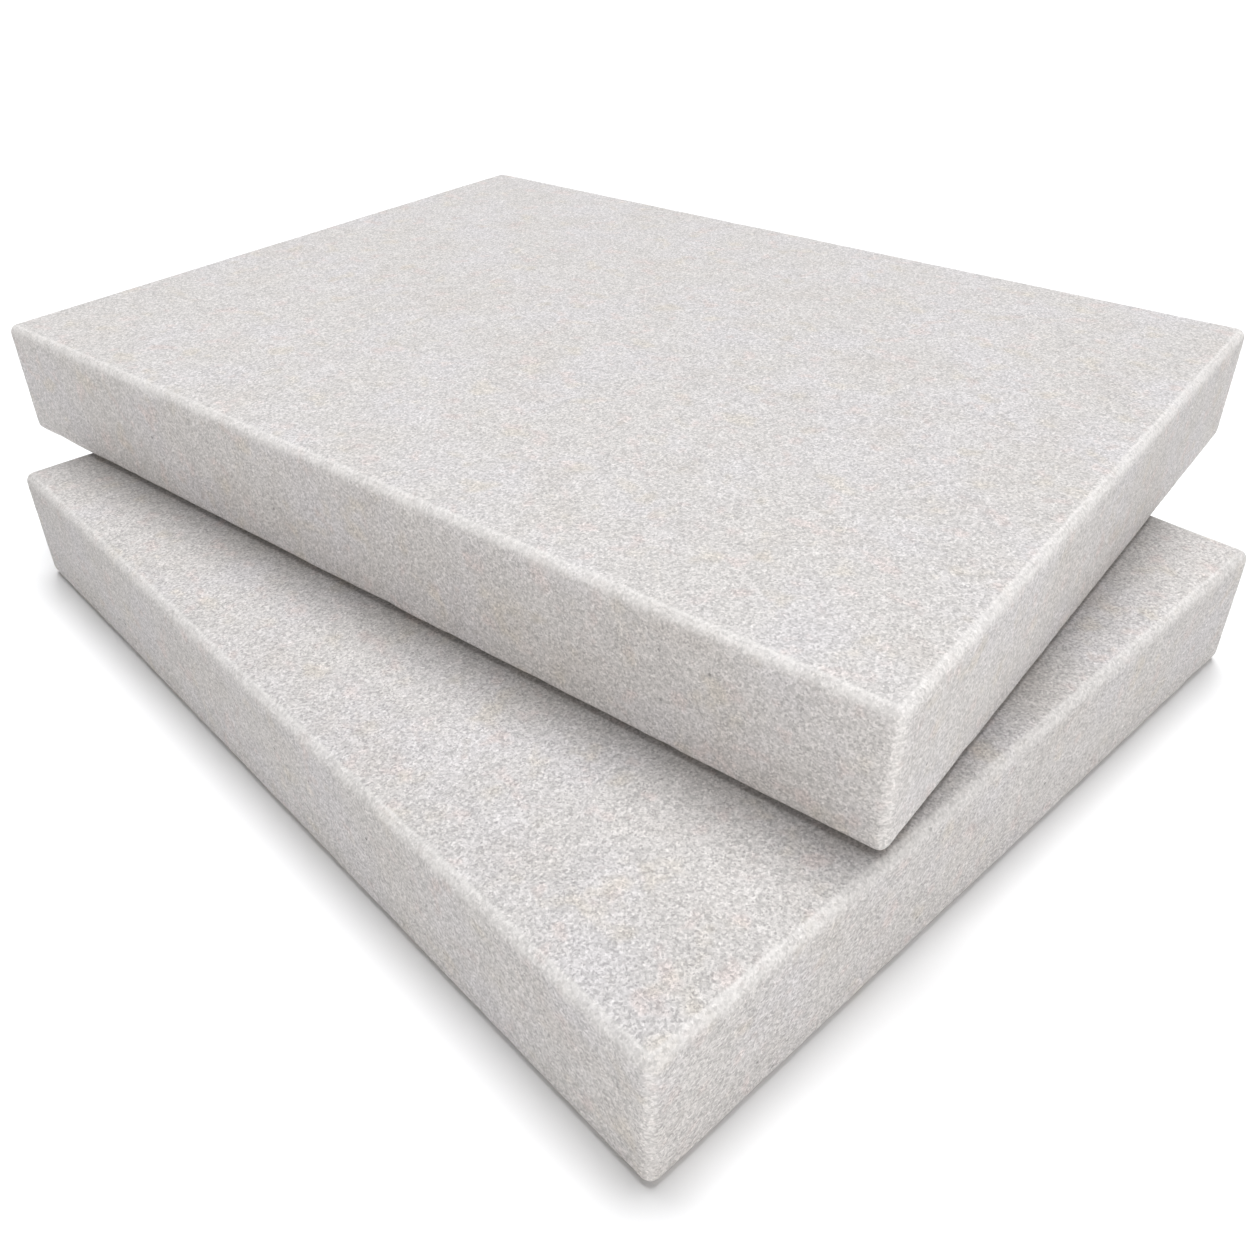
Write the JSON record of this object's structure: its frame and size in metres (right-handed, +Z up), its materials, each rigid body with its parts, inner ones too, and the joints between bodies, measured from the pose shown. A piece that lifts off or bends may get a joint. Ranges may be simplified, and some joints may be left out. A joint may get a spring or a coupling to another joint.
{
  "type": "granite slab pair",
  "caption": "Two loose rectangular granite slabs, one lying turned on the other, used as a hard flat base for stamping and tooling leather.",
  "frame": {"origin": "centre of the lower slab's underside, which rests on the bench at z = 0", "axes": "+Z up, out of the working faces; +X along the lower slab's length; +Y across its width. The upper slab is turned 9 degrees about +Z"},
  "size_m": [0.3591, 0.3009, 0.0763],
  "materials": {
    "lower_granite": "honed, fine grained pale grey granite with softly worn edges",
    "upper_granite": "honed, fine grained pale grey granite with softly worn edges"
  },
  "bodies": {
    "lower": {"lower_slab": "lower_granite"},
    "upper": {"upper_slab": "upper_granite"}
  },
  "joints": [
    {"name": "upper_slab_lift", "type": "slide", "parent": "lower", "child": "upper", "axis": [0, 0, 1], "range_m": [0, 0.12]}
  ]
}
